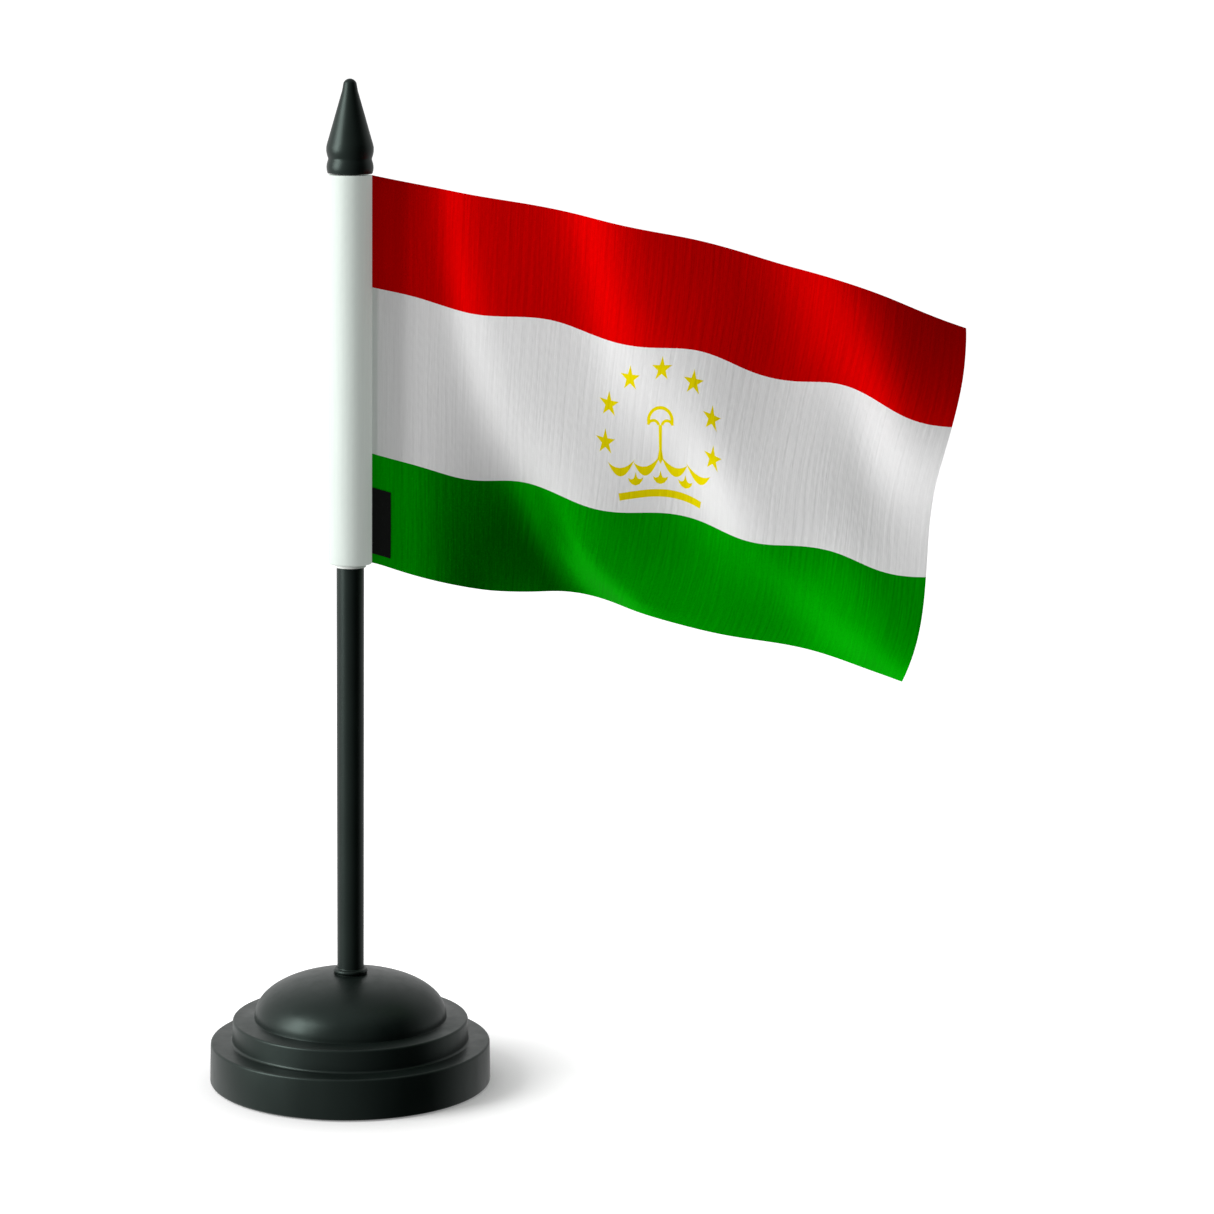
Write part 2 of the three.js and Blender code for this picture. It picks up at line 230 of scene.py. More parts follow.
def finial_spear():
    z = FINIAL_BOTTOM
    peg, peg_bottom = POLE_BORE_RADIUS - 0.1, POLE_TOP - 14
    shoulder = POLE_TOP + 0.3
    profile = [
        (0, peg_bottom),
        (peg - 0.5, peg_bottom),
        (peg, peg_bottom + 1),
        (peg, shoulder),
        (peg + 0.4, shoulder),
        (peg + 0.4, z),
        *arc(5.47, z + 0.3, 0.3, -90, -15, 3),
        *bead(5.5, 0.47, z + 1.6, 2.15, z + 0.3, z + 3.6, 12),
        *bead(5.5, 0.54, z + 6.15, 2.5, z + 3.9, z + 8.4, 14),
        (3.6, z + 15.35),
        (2.3, z + 19.85),
        (2.02, z + 20.8),
        *arc(0, z + 22.1, 1.8, 22, 90, 10),
    ]
    return turned("finial_spear", profile, 128)


def bottom_ring():
    outer = SLEEVE_RADIUS - SLEEVE_WALL - 0.25
    bore = POLE_HEAD_RADIUS + 0.13
    lip = bore + 0.3
    profile = [
        (bore, SLEEVE_BOTTOM - 0.7),
        *arc(lip - 0.15, SLEEVE_BOTTOM - 0.75, 0.15, -90, 0, 3),
        (lip, SLEEVE_BOTTOM + 0.4),
        (outer, SLEEVE_BOTTOM + 0.6),
        (outer, SLEEVE_BOTTOM + 5),
        (bore, SLEEVE_BOTTOM + 5),
    ]
    return turned("bottom_ring", profile, 96)


# ---------------------------------------------------------------- materials

def new_material(name):
    material = bpy.data.materials.new(name)
    material.use_nodes = True
    tree = material.node_tree
    shader = next(n for n in tree.nodes if n.type == "BSDF_PRINCIPLED")
    return material, tree, shader


def node(tree, kind, **values):
    made = tree.nodes.new(kind)
    for key, value in values.items():
        if key in made.inputs:
            made.inputs[key].default_value = value
        else:
            setattr(made, key, value)
    return made


def linear(red, green, blue):
    """An sRGB colour from 0 to 255 as the linear colour a shader takes."""
    def one(value):
        value /= 255
        return value / 12.92 if value <= 0.04045 else ((value + 0.055) / 1.055) ** 2.4
    return (one(red), one(green), one(blue), 1.0)


def mix_colours(tree, factor, first, second):
    mix = node(tree, "ShaderNodeMix", data_type="RGBA")
    for socket, value in ((mix.inputs[0], factor), (mix.inputs[6], first), (mix.inputs[7], second)):
        if isinstance(value, bpy.types.NodeSocket):
            tree.links.new(value, socket)
        else:
            socket.default_value = value
    return mix.outputs[2]


def ranged(tree, source, low, high, start=0.0, end=1.0):
    fit = node(tree, "ShaderNodeMapRange")
    fit.inputs["From Min"].default_value = start
    fit.inputs["From Max"].default_value = end
    fit.inputs["To Min"].default_value = low
    fit.inputs["To Max"].default_value = high
    tree.links.new(source, fit.inputs["Value"])
    return fit.outputs["Result"]


def noise(tree, vector, scale, detail=3.0, roughness=0.5):
    made = node(tree, "ShaderNodeTexNoise", Scale=scale, Detail=detail, Roughness=roughness)
    tree.links.new(vector, made.inputs["Vector"])
    return made.outputs["Fac"]


def bump(tree, shader, height, distance, strength=1.0, before=None):
    made = node(tree, "ShaderNodeBump", Strength=strength, Distance=distance)
    tree.links.new(height, made.inputs["Height"])
    if before is not None:
        tree.links.new(before, made.inputs["Normal"])
    tree.links.new(made.outputs["Normal"], shader.inputs["Normal"])
    return made.outputs["Normal"]


def object_place(tree):
    return node(tree, "ShaderNodeTexCoord").outputs["Object"]


def stretched(tree, vector, scale):
    made = node(tree, "ShaderNodeMapping")
    made.inputs["Scale"].default_value = scale
    tree.links.new(vector, made.inputs["Vector"])
    return made.outputs["Vector"]


def black_plastic():
    """Satin black moulding: a fine spark-eroded grain, slight clouding and handling smears."""
    material, tree, shader = new_material("black_moulding")
    place = object_place(tree)
    cloud = noise(tree, place, 60, 4)
    grain = noise(tree, place, 5200, 2)
    patch = ranged(tree, cloud, 0, 1, 0.3, 0.7)
    colour = mix_colours(tree, patch, linear(11, 17, 15), linear(17, 25, 22))
    tree.links.new(colour, shader.inputs["Base Color"])
    smear = noise(tree, stretched(tree, place, (1, 1, 0.25)), 240, 5, 0.6)
    tree.links.new(ranged(tree, smear, 0.33, 0.42, 0.3, 0.7), shader.inputs["Roughness"])
    shader.inputs["Specular IOR Level"].default_value = 0.34
    shader.inputs["Specular Tint"].default_value = (0.78, 1.0, 0.92, 1.0)
    fine = bump(tree, shader, grain, 0.00002, 0.35)
    bump(tree, shader, cloud, 0.0002, 0.08, fine)
    return material


def white_plastic():
    material, tree, shader = new_material("white_moulding")
    place = object_place(tree)
    cloud = noise(tree, place, 300, 3)
    colour = mix_colours(tree, cloud, linear(232, 236, 232), linear(240, 243, 240))
    tree.links.new(colour, shader.inputs["Base Color"])
    tree.links.new(ranged(tree, cloud, 0.35, 0.5), shader.inputs["Roughness"])
    bump(tree, shader, noise(tree, place, 4000, 2), 0.00002, 0.3)
    return material


def flat_place(tree):
    """Where a point lies on the flat cloth, in metres from the hoist and from the top edge."""
    return node(tree, "ShaderNodeUVMap", uv_map="flat").outputs["UV"]


def weave(tree, shader, place, pitch, distance, strength):
    """Crossing ribs of warp and weft, one pitch apart, with slubs that break them up."""
    ribs = []
    for axis, bands in (("X", pitch), ("Y", pitch * 1.3)):
        wave = node(tree, "ShaderNodeTexWave", Scale=1 / (bands * 20), Distortion=0.6, Detail=1.0)
        wave.bands_direction = axis
        tree.links.new(place, wave.inputs["Vector"])
        ribs.append(wave.outputs["Fac"])
    cross = node(tree, "ShaderNodeMath", operation="MULTIPLY")
    tree.links.new(ribs[0], cross.inputs[0])
    tree.links.new(ribs[1], cross.inputs[1])
    return bump(tree, shader, cross.outputs[0], distance, strength)


def satin(name, deep, bright, lustre, roughness=0.6, scatter=0.0):
    """Printed polyester satin. Its lustre is the share of light that the dyed floats mirror."""
    material, tree, shader = new_material(name)
    place = flat_place(tree)
    slub = noise(tree, stretched(tree, place, (1.0, 0.035, 1.0)), 2200, 3, 0.6)
    patch = noise(tree, place, 35, 2)
    share = node(tree, "ShaderNodeMath", operation="MULTIPLY_ADD")
    tree.links.new(slub, share.inputs[0])
    share.inputs[1].default_value = 0.9
    tree.links.new(ranged(tree, patch, -0.15, 0.25), share.inputs[2])
    tree.links.new(mix_colours(tree, share.outputs[0], deep, bright), shader.inputs["Base Color"])
    tree.links.new(ranged(tree, slub, roughness - 0.08, roughness + 0.08), shader.inputs["Roughness"])
    shader.inputs["Metallic"].default_value = lustre
    shader.inputs["Specular IOR Level"].default_value = 0.02
    shader.inputs["Specular Tint"].default_value = bright
    shader.inputs["Subsurface Weight"].default_value = scatter
    shader.inputs["Subsurface Radius"].default_value = (1, 1, 1)
    shader.inputs["Subsurface Scale"].default_value = MM
    crease = noise(tree, stretched(tree, place, (1.0, 0.05, 1.0)), 1100, 3, 0.5)
    broad = bump(tree, shader, crease, 0.0003, 0.26)
    fine = weave(tree, shader, place, 0.0004, 0.00006, 0.35)
    last = next(n for n in tree.nodes if n.type == "BUMP" and n.outputs[0] == fine)
    tree.links.new(broad, last.inputs["Normal"])
    return material


def sleeve_fabric():
    """White satin over a stiffener. Its faint glow is painted light, which stands for light carried
    round in the wall and lifts its shaded side.
    """
    material, tree, shader = new_material("sleeve_satin_painted_glow")
    place = flat_place(tree)
    slub = noise(tree, stretched(tree, place, (1.0, 0.05, 1.0)), 1200, 3)
    # The colour is greyer than white cloth, and the painted glow gives back the rest of its brightness
    # evenly all round.
    colour = mix_colours(tree, slub, linear(166, 175, 170), linear(181, 189, 184))
    tree.links.new(colour, shader.inputs["Base Color"])
    tree.links.new(ranged(tree, slub, 0.45, 0.6), shader.inputs["Roughness"])
    shader.inputs["Specular IOR Level"].default_value = 0.25
    # Painted light: the sleeve glows, though it is no lamp.
    shader.inputs["Emission Color"].default_value = (0.92, 1.0, 0.94, 1)
    shader.inputs["Emission Strength"].default_value = SLEEVE_PAINTED_GLOW
    weave(tree, shader, place, 0.00045, 0.00006, 0.3)
    return material


def ribbon():
    material, tree, shader = new_material("black_ribbon")
    place = flat_place(tree)
    slub = noise(tree, stretched(tree, place, (0.1, 1.0, 1.0)), 3000, 2)
    colour = mix_colours(tree, slub, linear(5, 8, 6), linear(20, 22, 20))
    tree.links.new(colour, shader.inputs["Base Color"])
    shader.inputs["Roughness"].default_value = 0.7
    shader.inputs["Specular IOR Level"].default_value = 0.2
    weave(tree, shader, place, 0.0005, 0.0001, 0.6)
    return material


def plated_steel():
    material, tree, shader = new_material("plated_steel")
    place = object_place(tree)
    cloud = noise(tree, place, 400, 4)
    colour = mix_colours(tree, cloud, linear(150, 152, 156), linear(190, 192, 194))
    tree.links.new(colour, shader.inputs["Base Color"])
    shader.inputs["Metallic"].default_value = 1.0
    tree.links.new(ranged(tree, cloud, 0.25, 0.5), shader.inputs["Roughness"])
    bump(tree, shader, noise(tree, place, 1500, 3), 0.0001, 0.3)
    return material


def foam():
    material, tree, shader = new_material("closed_cell_foam")
    place = object_place(tree)
    cells = node(tree, "ShaderNodeTexVoronoi", Scale=1400.0)
    tree.links.new(place, cells.inputs["Vector"])
    colour = mix_colours(tree, cells.outputs["Distance"], linear(34, 36, 38), linear(52, 55, 57))
    tree.links.new(colour, shader.inputs["Base Color"])
    shader.inputs["Roughness"].default_value = 0.92
    bump(tree, shader, cells.outputs["Distance"], 0.0002, 0.5)
    return material


# ---------------------------------------------------------------- flag

def smoothstep(start, end, value):
    share = np.clip((value - start) / (end - start), 0, 1)
    return share * share * (3 - 2 * share)


def cloth_heading(along, down):
    """Droop and turn of the cloth, in radians, as in the CAD model's wavy sheet.

    Long folds slant from the hoist's top to the fly's foot and widen on the way. Each is a sharp
    crest between flatter slopes. A shorter ripple sways the cloth up and down along its length.
    """
    s, t = along / FLAG_LENGTH, down / FLAG_HEIGHT
    middle = 3.38 + 0.6 * t + 1.75 * t * t
    fold = 2 * np.pi * np.maximum((along ** 0.4 - middle) / (1.68 + 0.16 * t), -0.5)
    opened = 1 - np.exp(-((along / (8 + 16 * t)) ** 2))
    before = 1 / (1 + np.exp(3 * fold + 2.2))
    sharp = np.exp(1.5 * (np.cos(fold) - 1))
    crest = (0.3 + 0.2 * s + 0.5 * t ** 3 * np.exp(-fold * fold / 8)) * sharp
    turn = 0.06 + (0.06 + 0.7 * t * t) * before - crest + 0.35 * s * s * (1 - 1.4 * t)
    ripple = 2 * np.pi * (along - 17.2) / 41.2
    sway = (0.094 * s + 0.311 * np.sin(np.pi * t) - 0.048) * np.cos(ripple)
    droop = 0.163 + 0.075 * t + 0.087 * t ** 3 - 0.361 * s * t + 0.249 * s * s
    return droop + opened * sway, opened * turn - 0.12 * (1 - opened)


def waved_grid(columns, rows):
    """Points of the flying cloth on an even grid, rows from the top edge down."""
    across = np.linspace(0, FLAG_LENGTH, columns + 1)
    upright = np.linspace(0, FLAG_HEIGHT, rows + 1)
    along, down = np.meshgrid(across, upright)
    droop, turn = cloth_heading(along, down)
    tuck = BELLY_TUCK * np.sin(2.83 * (down[:, :-1] / FLAG_HEIGHT) ** 1.5)
    step = FLAG_LENGTH / columns * (1 - tuck)
    grid = np.zeros(along.shape + (3,))
    grid[:, 0] = np.stack([
        np.full(rows + 1, SEAM_RADIUS * math.cos(SEAM_ANGLE)),
        np.full(rows + 1, SEAM_RADIUS * math.sin(SEAM_ANGLE)),
        FLAG_TOP - down[:, 0],
    ], -1)
    heading = np.stack([np.cos(droop) * np.cos(turn), np.sin(turn), -np.sin(droop) * np.cos(turn)], -1)
    middle = (heading[:, 1:] + heading[:, :-1]) / 2
    middle /= np.linalg.norm(middle, axis=-1, keepdims=True)
    grid[:, 1:] = grid[:, :1] + np.cumsum(middle * step[..., None], axis=1)
    return grid


def grid_faces(columns, rows):
    wide = columns + 1
    return [
        (r * wide + c, (r + 1) * wide + c, (r + 1) * wide + c + 1, r * wide + c + 1)
        for r in range(rows)
        for c in range(columns)
    ]


def ironed(shift, passes):
    """Takes the finest puckers out of a grid of shifts, and keeps the hoist where it is."""
    for _ in range(passes):
        padded = np.pad(shift, ((1, 1), (1, 1), (0, 0)), "edge")
        across = padded[1:-1, :-2] + padded[1:-1, 2:]
        upright = padded[:-2, 1:-1] + padded[2:, 1:-1]
        shift = (4 * shift + across + upright) / 8
        shift[:, 0] = 0
    return shift


def relaxed_grid(columns=96, rows=60, blown=12, frames=40):
    """The cut cloth, blown into its waves by a cloth simulation that keeps its cut size."""
    waved = waved_grid(columns, rows)
    cut = waved[:, :1] + np.stack([
        np.linspace(0, FLAG_LENGTH, columns + 1), np.zeros(columns + 1), np.zeros(columns + 1),
    ], -1)
    piece = mesh_piece("cloth_work", cut.reshape(-1, 3), grid_faces(columns, rows))
    piece.shape_key_add(name="cut")
    wave = piece.shape_key_add(name="waved")
    for point, place in zip(wave.data, waved.reshape(-1, 3) * MM):
        point.co = place
    for number, share in ((1, 0.0), (blown, 1.0)):
        wave.value = share
        wave.keyframe_insert("value", frame=number)
    held = piece.vertex_groups.new(name="held")
    for i in range(len(piece.data.vertices)):
        held.add([i], 1.0 if i % (columns + 1) == 0 else WAVE_HOLD, "REPLACE")
    cloth = piece.modifiers.new("cloth", "CLOTH")
    settings = cloth.settings
    settings.quality = 10
    settings.mass = 0.15
    settings.tension_stiffness = settings.compression_stiffness = 15
    settings.shear_stiffness = 3
    settings.bending_stiffness = 0.02
    settings.air_damping = 6
    settings.vertex_group_mass = "held"
    settings.pin_stiffness = 1.0
    settings.effector_weights.gravity = 0.0
    cloth.point_cache.frame_start, cloth.point_cache.frame_end = 1, frames
    scene = bpy.context.scene
    for number in range(1, frames + 1):
        scene.frame_set(number)
    done = piece.evaluated_get(bpy.context.evaluated_depsgraph_get())
    points = np.array([v.co for v in done.data.vertices]).reshape(waved.shape) / MM
    scene.frame_set(1)
    bpy.data.objects.remove(piece)
    return waved + ironed(points - waved, 10)


def cubic_weights(share):
    s2, s3 = share * share, share ** 3
    return np.stack([
        -0.5 * share + s2 - 0.5 * s3, 1 - 2.5 * s2 + 1.5 * s3,
        0.5 * share + 2 * s2 - 1.5 * s3, -0.5 * s2 + 0.5 * s3,
    ], -1)


class Cloth:
    """The flying cloth as a smooth map from a place on the flat cloth to a point in space."""

    def __init__(self, grid):
        self.rows, self.columns = grid.shape[0] - 1, grid.shape[1] - 1
        padded = np.zeros((self.rows + 3, self.columns + 3, 3))
        padded[1:-1, 1:-1] = grid
        padded[0], padded[-1] = 2 * padded[1] - padded[2], 2 * padded[-2] - padded[-3]
        padded[:, 0], padded[:, -1] = 2 * padded[:, 1] - padded[:, 2], 2 * padded[:, -2] - padded[:, -3]
        self.padded = padded

    def at(self, along, down):
        u = np.clip(along / FLAG_LENGTH, 0, 1) * self.columns
        v = np.clip(down / FLAG_HEIGHT, 0, 1) * self.rows
        c, r = np.minimum(u.astype(int), self.columns - 1), np.minimum(v.astype(int), self.rows - 1)
        wide, high = cubic_weights(u - c), cubic_weights(v - r)
        total = np.zeros(np.shape(u) + (3,))
        for i in range(4):
            for j in range(4):
                total += (high[..., i] * wide[..., j])[..., None] * self.padded[r + i, c + j]
        return total

    def front(self, along, down, reach=0.4):
        onward = self.at(along + reach, down) - self.at(along - reach, down)
        downward = self.at(along, down + reach) - self.at(along, down - reach)
        normal = np.cross(downward, onward)
        return normal / np.linalg.norm(normal, axis=-1, keepdims=True)


class SeamTape(Cloth):
    """The tunnel's seam allowance: it leaves the tube and lies behind the cloth's hoist."""

    def __init__(self, cloth):
        self.cloth = cloth

    def at(self, along, down):
        turn = SEAM_ANGLE + 0.1 - np.minimum(along, 0) / TAPE_RADIUS
        tube = np.stack([TAPE_RADIUS * np.cos(turn), TAPE_RADIUS * np.sin(turn), FLAG_TOP - down], -1)
        over = np.maximum(along, 0)
        behind = self.cloth.at(over, down) - TAPE_LIFT * self.cloth.front(over, down)
        share = smoothstep(-0.6, 1.2, along)[..., None]
        return tube * (1 - share) + behind * share


# The gold charge: an arc of stars over an open crown, drawn about the middle of the flag.
CHARGE_MIDDLE, CHARGE_LEVEL, CHARGE_LEAN = 82.2, 50.2, 0.1
STAR_ARC_WIDTH, STAR_ARC_HEIGHT, STAR_STEP = 15.5, 16.8, 33.6
STAR_RADIUS, STAR_WAIST, STAR_NARROW = 3.4, 0.382, 0.84


def star(x, y):
    """A five-pointed star, one point up, a little narrow."""
    outline = []
    for k in range(10):
        reach = STAR_RADIUS if k % 2 == 0 else STAR_RADIUS * STAR_WAIST
        a = math.radians(36 * k)
        outline.append((x + STAR_NARROW * reach * math.sin(a), y - reach * math.cos(a)))
    return outline


def bow(start, end, sag, steps=12):
    """Points of a shallow parabola between two ends, hanging by sag at its middle."""
    (x0, y0), (x1, y1) = start, end
    shares = np.linspace(0, 1, steps + 1)
    return [(x0 + (x1 - x0) * s, y0 + (y1 - y0) * s + 4 * sag * s * (1 - s)) for s in shares]


def crescent(start, end, upper, lower):
    """The shape between two bows that share their ends."""
    return bow(start, end, upper) + bow(end, start, lower)[1:-1]


def band(middle, radius, width, start, end, steps=20):
    """A strip of even width along an arc, whose angles run from the top towards the fly."""
    turn = np.radians(np.linspace(start, end, steps + 1))

    def edge(reach, angles):
        return [(middle[0] + reach * math.sin(a), middle[1] - reach * math.cos(a)) for a in angles]

    return edge(radius + width / 2, turn) + edge(radius - width / 2, turn[::-1])


def leaf(x, y, size):
    """A small bud with a pointed middle and two side petals, half of it given and then mirrored."""
    half = [
        (0, -1.0), (0.16, -0.45), (0.3, -0.2), (0.62, -0.12),
        (1.0, -0.3), (0.86, 0.12), (0.5, 0.5), (0, 0.66),
    ]
    right = [(x + size * a, y + size * b) for a, b in half]
    left = [(x - size * a, y + size * b) for a, b in reversed(half[1:-1])]
    return right + left


def charge_outlines():
    """The charge on the flat cloth: stars, then a crown of arch, stem, garlands, buds and foot.

    Offsets are in millimetres from the charge's middle, towards the fly and down.
    """
    x, y = CHARGE_MIDDLE, CHARGE_LEVEL
    outlines = []
    for k in range(-3, 4):
        a = math.radians(STAR_STEP * k)
        above = STAR_ARC_HEIGHT * math.cos(a) - 0.6
        outlines.append(star(x + STAR_ARC_WIDTH * math.sin(a), y - above))
    outlines.append(band((x, y - 2.7), 3.35, 0.9, -100, 100))
    for side in (-1, 1):
        outlines.append(band((x + side * 2.0, y - 1.1), 1.55, 0.8, -80 * side, 75 * side, 12))
        outlines.append([
            (x - side * 0.08, y - 1.5),
            (x + side * 0.5, y - 1.3),
            (x + side * 0.42, y + 5.2),
            (x + side * 0.8, y + 7.4),
            (x - side * 0.02, y + 8.9),
        ])
        outlines.append(crescent((x + side * 0.1, y + 6.6), (x + side * 7.6, y + 8.2), 2.0, 4.4))
        outlines.append(crescent((x + side * 7.2, y + 7.6), (x + side * 14.6, y + 8.6), 1.7, 3.9))
        outlines.append(leaf(x + side * 6.9, y + 12.9, 2.1))
    outlines.append(leaf(x, y + 12.6, 2.1))
    outlines.append(band((x, y + 78.2), 62.0, 1.9, -10.6, 10.6))
    return [[(px + CHARGE_LEAN * (py - y), py) for px, py in outline] for outline in outlines]


def inside(point, outline):
    x, y = point
    odd = False
    for (x0, y0), (x1, y1) in zip(outline, outline[1:] + outline[:1]):
        if (y0 > y) != (y1 > y) and x < x0 + (y - y0) * (x1 - x0) / (y1 - y0):
            odd = not odd
    return odd


def nearest(points, outline):
    """Distance from each point to an outline."""
    best = np.full(len(points), np.inf)
    for a, b in zip(outline, outline[1:] + outline[:1]):
        a, b = np.array(a), np.array(b)
        edge = b - a
        share = np.clip(((points - a) @ edge) / max(edge @ edge, 1e-12), 0, 1)
        best = np.minimum(best, np.linalg.norm(points - (a + share[:, None] * edge), axis=1))
    return best


def flat_pattern(pitch=1.25, clearance=0.3):
    """The cut cloth as flat triangles, with edges along the stripes and round the charge."""
    outlines = charge_outlines()
    stripe_ends = [FLAG_HEIGHT * share for share in (0, *STRIPES, 1)]
    levels, ends = [], [0]
    for top, bottom in zip(stripe_ends, stripe_ends[1:]):
        rows = round((bottom - top) / pitch)
        levels += list(np.linspace(top, bottom, rows + 1)[:-1])
        ends.append(len(levels))
    levels.append(FLAG_HEIGHT)
    places = np.linspace(0, FLAG_LENGTH, round(FLAG_LENGTH / pitch) + 1)
    grid = np.array([(s, t) for t in levels for s in places])
    keep = np.ones(len(grid), bool)
    for outline in outlines:
        keep &= nearest(grid, outline) > clearance
    number = (np.cumsum(keep) - 1).reshape(len(levels), len(places))
    points = [Vector(p) for p in grid[keep]]
    edges = []
    for row in ends:
        edges += [(int(i), int(j)) for i, j in zip(number[row], number[row, 1:])]
    for outline in outlines:
        first = len(points)
        points += [Vector(p) for p in outline]
        edges += [(first + i, first + (i + 1) % len(outline)) for i in range(len(outline))]
    verts, _, faces, *_ = geometry.delaunay_2d_cdt(points, edges, [], 0, 1e-5)
    flat = np.array([tuple(v) for v in verts])
    kinds = []
    for face in faces:
        middle = flat[list(face)].mean(axis=0)
        gold = any(inside(middle, o) for o in outlines)
        stripe = sum(middle[1] > end for end in stripe_ends[1:-1])
        kinds.append(3 if gold else stripe)
    return flat, [tuple(f) for f in faces], kinds


def two_sided(name, cloth, flat, faces, kinds, thickness, lift=0.0):
    """A thin closed sheet that lies on the cloth, with the flat places as its UV map."""
    along, down = flat[:, 0], flat[:, 1]
    middle, normal = cloth.at(along, down), cloth.front(along, down)
    front = middle + normal * (lift + thickness / 2)
    back = middle + normal * (lift - thickness / 2)
    count = len(flat)
    # A few faces tell which way round the pattern runs, and so which way its front looks.
    turning = sum(
        (flat[b][0] - flat[a][0]) * (flat[b][1] + flat[a][1])
        for f in faces[:50] for a, b in zip(f, f[1:] + f[:1])
    )
    if turning > 0:
        faces = [tuple(reversed(f)) for f in faces]
    loops = {}
    for k, f in enumerate(faces):
        for a, b in zip(f, f[1:] + f[:1]):
            loops[(a, b)] = k
    rim = [(a, b, k) for (a, b), k in loops.items() if (b, a) not in loops]
    every = [tuple(reversed(f)) for f in faces]
    every += [tuple(i + count for i in f) for f in faces]
    every += [(a, b, b + count, a + count) for a, b, _ in rim]
    piece = mesh_piece(name, np.concatenate([front, back]), every, 40)
    mesh = piece.data
    uv = mesh.uv_layers.new(name="flat")
    places = np.concatenate([flat, flat]) * MM
    for loop in mesh.loops:
        uv.data[loop.index].uv = places[loop.vertex_index]
    for polygon, kind in zip(mesh.polygons, list(kinds) * 2 + [kinds[k] for _, _, k in rim]):
        polygon.material_index = kind
    return piece


def strip_pattern(along, down, columns, rows):
    s, t = np.meshgrid(np.linspace(*along, columns + 1), np.linspace(*down, rows + 1))
    flat = np.stack([s.ravel(), t.ravel()], -1)
    return flat, grid_faces(columns, rows), [0] * (columns * rows)


def sleeve_tunnel():
    """The stiff tunnel, its lower end rolled in, with the flat cloth's UV map round it."""
    outer, inner, roll = SLEEVE_RADIUS, SLEEVE_RADIUS - SLEEVE_WALL, 0.42
    profile = [
        (inner, SLEEVE_BOTTOM),
        *arc(outer - roll, SLEEVE_BOTTOM + roll, roll, -90, 0, 6),
        *[(outer, z) for z in np.linspace(SLEEVE_BOTTOM + 3, SLEEVE_TOP - 1, 60)],
        *arc(outer - 0.25, SLEEVE_TOP - 0.25, 0.25, 0, 90, 4),
        (inner, SLEEVE_TOP),
    ]
    piece = turned("sleeve_tunnel", profile, 96)
    uv = piece.data.uv_layers.new(name="flat")
    for polygon in piece.data.polygons:
        middle = math.atan2(polygon.center.y, polygon.center.x)
        for index in polygon.loop_indices:
            co = piece.data.vertices[piece.data.loops[index].vertex_index].co
            turn = math.atan2(co.y, co.x)
            turn += 2 * math.pi * round((middle - turn) / (2 * math.pi))
            uv.data[index].uv = (turn * SLEEVE_RADIUS * MM, co.z)
    return piece


# ---------------------------------------------------------------- assembly

def finish_piece(piece, body, materials, slot, *nodes):
    for material in materials:
        piece.data.materials.append(material)
    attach(piece, body)
    if nodes:
        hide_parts(*nodes)
    return piece


def repaint(name, material):
    carried = frame["nodes"][name]
    carried.data.materials.clear()
    carried.data.materials.append(material)


black, white, metal = black_plastic(), white_plastic(), plated_steel()
for name in ("ballast_disc", "cover_screw_1", "cover_screw_2", "cover_screw_3"):
    repaint(name, metal)
repaint("base_cover", black)
repaint("nonslip_pad", foam())
repaint("sleeve_top_ring", white)

finish_piece(base_body(), "base", [black], "black_plastic", "base_shell")
finish_piece(collar_bush(), "collar", [black], "black_plastic", "socket_collar")
finish_piece(pole_tube(), "pole", [black], "black_plastic", "pole")
finish_piece(finial_spear(), "finial", [black], "black_plastic", "finial")
finish_piece(bottom_ring(), "flag", [white], "white_plastic", "sleeve_bottom_ring")
tunnel = finish_piece(sleeve_tunnel(), "flag", [sleeve_fabric()], "sleeve_fabric", "sleeve")

cloth = Cloth(relaxed_grid())
tape_place = strip_pattern(TAPE_ALONG, (TAPE_HEM, FLAG_HEIGHT - TAPE_HEM), 24, 80)
tape = two_sided("seam_tape", SeamTape(cloth), *tape_place, 0.24)
tape.data.materials.append(tunnel.data.materials[0])
with bpy.context.temp_override(active_object=tunnel, selected_editable_objects=[tunnel, tape]):
    bpy.ops.object.join()
red = satin("red_satin", linear(206, 0, 0), linear(240, 0, 0), 0.45)
pale = satin("white_satin", linear(232, 232, 232), linear(246, 246, 246), 0.0, scatter=0.5)
green = satin("green_satin", linear(0, 152, 0), linear(0, 198, 0), 0.7, 0.46)
gold = satin("gold_print", linear(230, 208, 0), linear(252, 238, 6), 0.1)
flag = two_sided("flag_satin", cloth, *flat_pattern(), CLOTH_THICKNESS)
finish_piece(flag, "flag", [red, pale, green, gold], "flag_satin", "flag_cloth")

label_bottom = FLAG_HEIGHT - LABEL_ABOVE_HEM
label_down = (label_bottom - LABEL_HEIGHT, label_bottom)
label_place = strip_pattern(LABEL_ALONG, label_down, 10, 24)
label = two_sided("hem_label", cloth, *label_place, 0.25, CLOTH_THICKNESS / 2 + 0.2)
finish_piece(label, "flag", [ribbon()], "label_ribbon", "woven_label")


# ---------------------------------------------------------------- studio

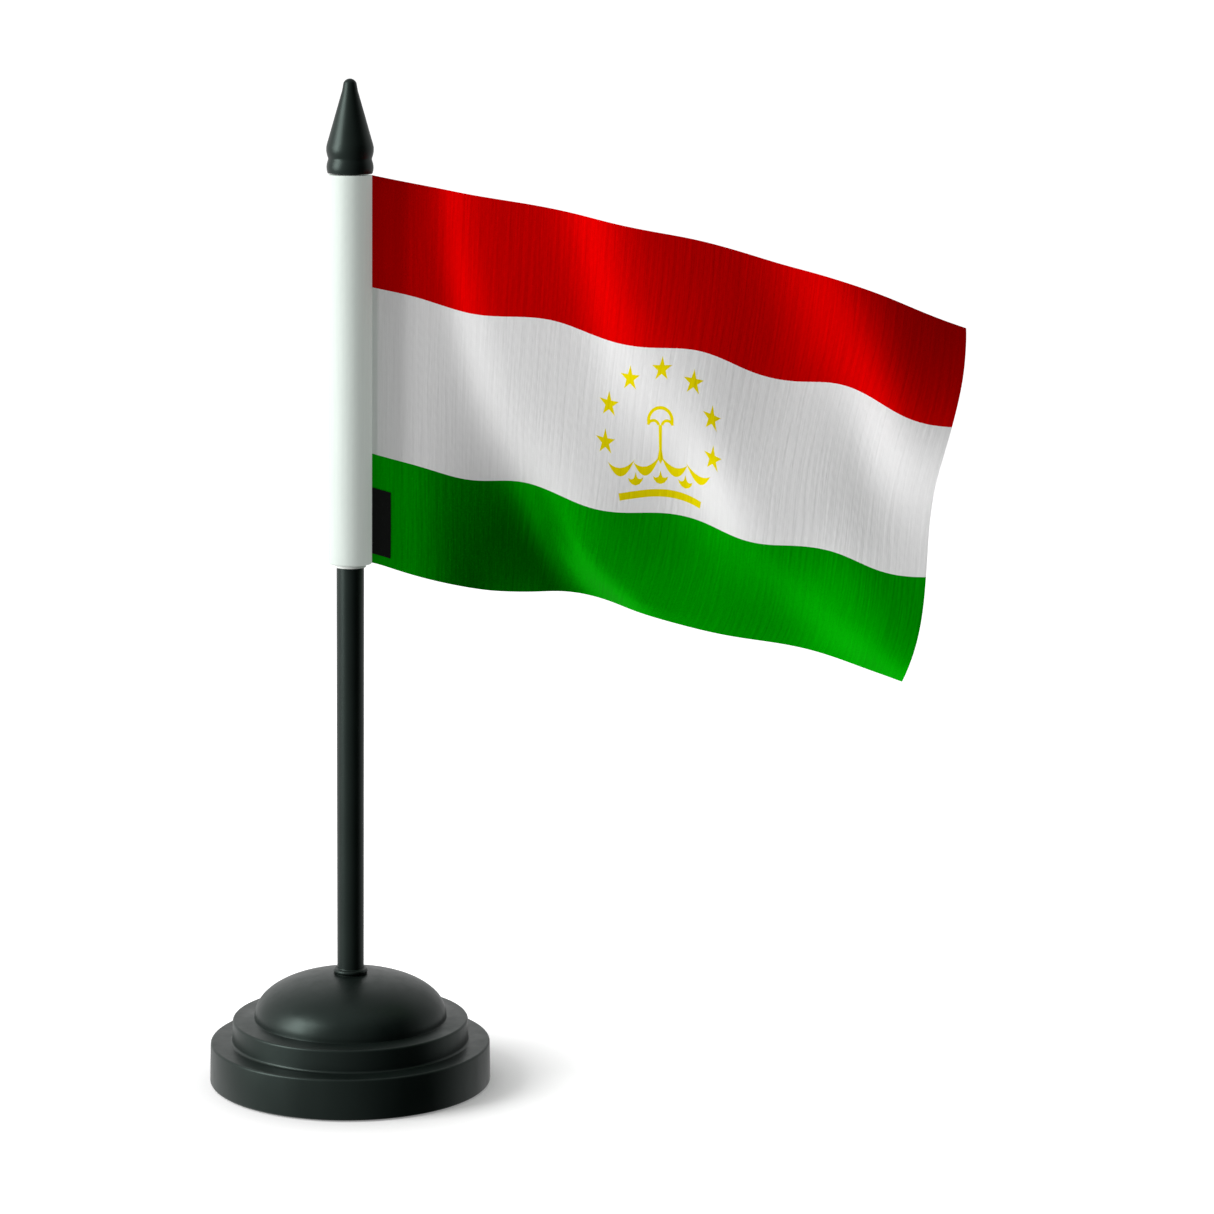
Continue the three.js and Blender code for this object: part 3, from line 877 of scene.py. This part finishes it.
def floor():
    """A white sweep that glows a little, so that only the contact shadow reads on it. The glow is lower
    close to the foot: painted shade that darkens the floor round the foot and deepens its contact
    shadow.
    """
    size, cells = 14.0, 28
    mesh = bpy.data.meshes.new("floor")
    line = np.linspace(-size, size, cells + 1)
    mesh.from_pydata([(x, y, 0) for y in line for x in line], [],
                     [tuple(reversed(face)) for face in grid_faces(cells, cells)])
    piece = link("floor", mesh)
    material, tree, shader = new_material("pale_floor")
    shader.inputs["Base Color"].default_value = linear(232, 232, 232)
    shader.inputs["Roughness"].default_value = 0.9
    shader.inputs["Specular IOR Level"].default_value = 0.0
    shader.inputs["Emission Color"].default_value = (1, 1, 1, 1)
    away = node(tree, "ShaderNodeVectorMath", operation="LENGTH")
    tree.links.new(node(tree, "ShaderNodeNewGeometry").outputs["Position"], away.inputs[0])
    # Painted shade: the glow is lower close to the foot, which darkens the floor round it.
    glow = ranged(tree, away.outputs["Value"], NEAR_GLOW_PAINTED_SHADE, FLOOR_GLOW, GLOW_START, GLOW_END)
    tree.links.new(glow, shader.inputs["Emission Strength"])
    mesh.materials.append(material)
    piece.visible_diffuse = False
    piece.visible_glossy = False


def softbox(name, place, aim, width, height, power):
    light = bpy.data.lights.new(name, "AREA")
    light.shape = "RECTANGLE"
    light.size, light.size_y = width, height
    light.energy = power
    lamp = bpy.data.objects.new(name, light)
    lamp.location = place
    lamp.rotation_euler = (Vector(aim) - Vector(place)).to_track_quat("-Z", "Y").to_euler()
    lamp.visible_camera = False
    bpy.context.scene.collection.objects.link(lamp)


def world():
    """A room seen as plain white, whose light comes from the left, behind, above and low down."""
    made = bpy.data.worlds.new("studio")
    made.use_nodes = True
    tree = made.node_tree
    toward = node(tree, "ShaderNodeTexCoord").outputs["Generated"]

    def facing(direction, start, end, low, high):
        dot = node(tree, "ShaderNodeVectorMath", operation="DOT_PRODUCT")
        tree.links.new(toward, dot.inputs[0])
        dot.inputs[1].default_value = direction
        return ranged(tree, dot.outputs["Value"], low, high, start, end)

    def brighter(first, second):
        pick = node(tree, "ShaderNodeMath", operation="MAXIMUM")
        tree.links.new(first, pick.inputs[0])
        tree.links.new(second, pick.inputs[1])
        return pick.outputs[0]

    sides = facing((-1, 0, 0), -0.7, 0.9, ROOM_RIGHT, ROOM_LEFT)
    behind = facing((-0.8, 1, 0), 0.2, 0.9, 0, ROOM_BACK)
    above = facing((-0.4, 0, 1), 0.45, 1.0, 0, ROOM_TOP)
    low = facing((-0.6, 0.3, -0.75), 0.65, 1.0, 0, ROOM_LOW)
    rim = facing((0.7, 1, 0), 0.5, 0.95, 0, ROOM_RIM)
    room = brighter(brighter(sides, low), brighter(brighter(behind, above), rim))
    seen = node(tree, "ShaderNodeLightPath").outputs["Is Camera Ray"]
    colour = mix_colours(tree, seen, room, (1.2, 1.2, 1.2, 1))
    tree.links.new(colour, tree.nodes["Background"].inputs["Color"])
    bpy.context.scene.world = made


def camera():
    """A long lens a metre off, level with the pole's head, looking a little down."""
    data = bpy.data.cameras.new("camera")
    data.sensor_width = 36
    data.lens = CAMERA_LENS
    place = bpy.data.objects.new("camera", data)
    down, roll = math.radians(CAMERA_TILT), math.radians(CAMERA_ROLL)
    right = Vector((1, 0, 0))
    ahead = Vector((0, math.cos(down), -math.sin(down)))
    up = right.cross(ahead)
    turned_right = math.cos(roll) * right + math.sin(roll) * up
    turned_up = -math.sin(roll) * right + math.cos(roll) * up
    axes = Matrix((turned_right, turned_up, -ahead)).transposed().to_4x4()
    place.matrix_world = Matrix.Translation(Vector(CAMERA_PLACE) * MM) @ axes
    bpy.context.scene.collection.objects.link(place)
    bpy.context.scene.camera = place


floor()
world()
softbox("key", (-0.78, -0.34, 0.45), (0.03, 0, 0.16), 0.5, 0.85, KEY_POWER)
camera()
bpy.context.scene.view_settings.view_transform = "Standard"
